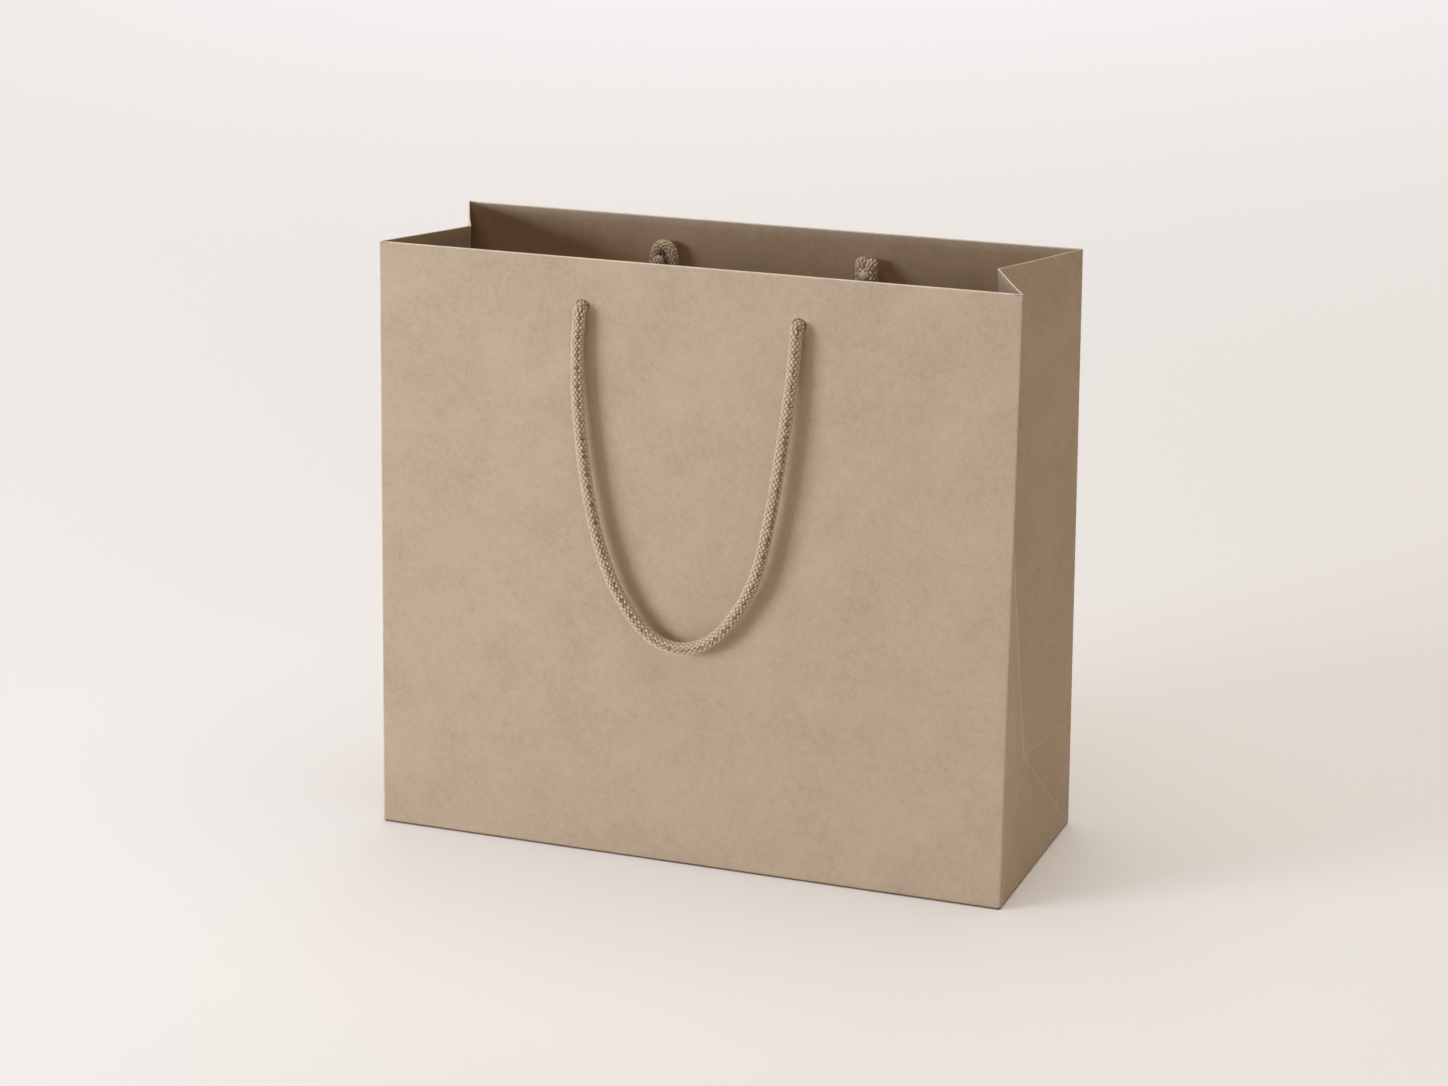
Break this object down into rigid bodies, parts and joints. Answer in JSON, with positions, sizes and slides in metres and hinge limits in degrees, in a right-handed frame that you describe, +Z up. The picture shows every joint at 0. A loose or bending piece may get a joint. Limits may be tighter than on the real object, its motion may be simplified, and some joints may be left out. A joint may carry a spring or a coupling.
{
  "type": "gift bag",
  "caption": "Open kraft paper gift bag with folded side gussets and a looped cord handle on the front and the back.",
  "frame": {"origin": "on the floor, under the middle of the base", "axes": "+Z up, +X along the wide walls to the right as seen from the front, +Y from the front wall to the back wall"},
  "size_m": [0.32, 0.1297, 0.2923],
  "materials": {
    "kraft_paper": "matte",
    "grey_board": "matte",
    "cotton_cord": "matte"
  },
  "bodies": {
    "base": {"base_outer_flap": "kraft_paper", "base_inner_flap": "kraft_paper", "base_side_flap_left": "kraft_paper", "base_side_flap_right": "kraft_paper", "base_board": "grey_board"},
    "front_wall": {"front_panel": "kraft_paper", "front_top_card": "grey_board", "front_top_hem": "kraft_paper", "front_knot_left": "cotton_cord", "front_knot_right": "cotton_cord"},
    "back_wall": {"back_panel": "kraft_paper", "back_top_card": "grey_board", "back_top_hem": "kraft_paper", "back_glue_seam": "kraft_paper", "back_knot_left": "cotton_cord", "back_knot_right": "cotton_cord"},
    "front_left_fold": {"gusset_front_left": "kraft_paper", "gusset_foot_left": "kraft_paper"},
    "front_right_fold": {"gusset_front_right": "kraft_paper", "gusset_foot_right": "kraft_paper"},
    "back_left_fold": {"gusset_back_left": "kraft_paper"},
    "back_right_fold": {"gusset_back_right": "kraft_paper"},
    "front_handle": {"front_cord": "cotton_cord"},
    "back_handle": {"back_cord": "cotton_cord"}
  },
  "joints": [
    {"name": "front_wall_lean", "type": "hinge", "parent": "base", "child": "front_wall", "pos_m": [0, -0.06, 0.0003], "axis": [-1, 0, 0], "range_deg": [-1.5, 6.5]},
    {"name": "back_wall_lean", "type": "hinge", "parent": "base", "child": "back_wall", "pos_m": [0, 0.06, 0.0003], "axis": [1, 0, 0], "range_deg": [-1.5, 6.5]},
    {"name": "front_left_gusset_fold", "type": "hinge", "parent": "front_wall", "child": "front_left_fold", "pos_m": [-0.16, -0.06, 0.0003], "axis": [0.7428, 0.6684, 0.038], "range_deg": [-2.12, 8.84], "deforming": ["gusset_front_left"]},
    {"name": "front_right_gusset_fold", "type": "hinge", "parent": "front_wall", "child": "front_right_fold", "pos_m": [0.16, -0.06, 0.0003], "axis": [0.7428, -0.6684, -0.038], "range_deg": [-2.12, 8.84], "deforming": ["gusset_front_right"]},
    {"name": "back_left_gusset_fold", "type": "hinge", "parent": "back_wall", "child": "back_left_fold", "pos_m": [-0.16, 0.06, 0.0003], "axis": [-0.7428, 0.6684, -0.038], "range_deg": [-2.12, 8.84], "deforming": ["gusset_back_left"]},
    {"name": "back_right_gusset_fold", "type": "hinge", "parent": "back_wall", "child": "back_right_fold", "pos_m": [0.16, 0.06, 0.0003], "axis": [-0.7428, -0.6684, 0.038], "range_deg": [-2.12, 8.84], "deforming": ["gusset_back_right"]},
    {"name": "front_handle_swing", "type": "hinge", "parent": "front_wall", "child": "front_handle", "pos_m": [0, -0.05126, 0.26918], "axis": [-1, 0, 0], "range_deg": [0, 175]},
    {"name": "back_handle_swing", "type": "hinge", "parent": "back_wall", "child": "back_handle", "pos_m": [0, 0.05957, 0.26932], "axis": [1, 0, 0], "range_deg": [0, 175]}
  ],
  "couplings": [
    {"joint": "back_wall_lean", "follows": "front_wall_lean", "ratio": 1},
    {"joint": "front_left_gusset_fold", "follows": "front_wall_lean", "ratio": 1.345},
    {"joint": "front_right_gusset_fold", "follows": "front_wall_lean", "ratio": 1.345},
    {"joint": "back_left_gusset_fold", "follows": "front_wall_lean", "ratio": 1.345},
    {"joint": "back_right_gusset_fold", "follows": "front_wall_lean", "ratio": 1.345}
  ]
}
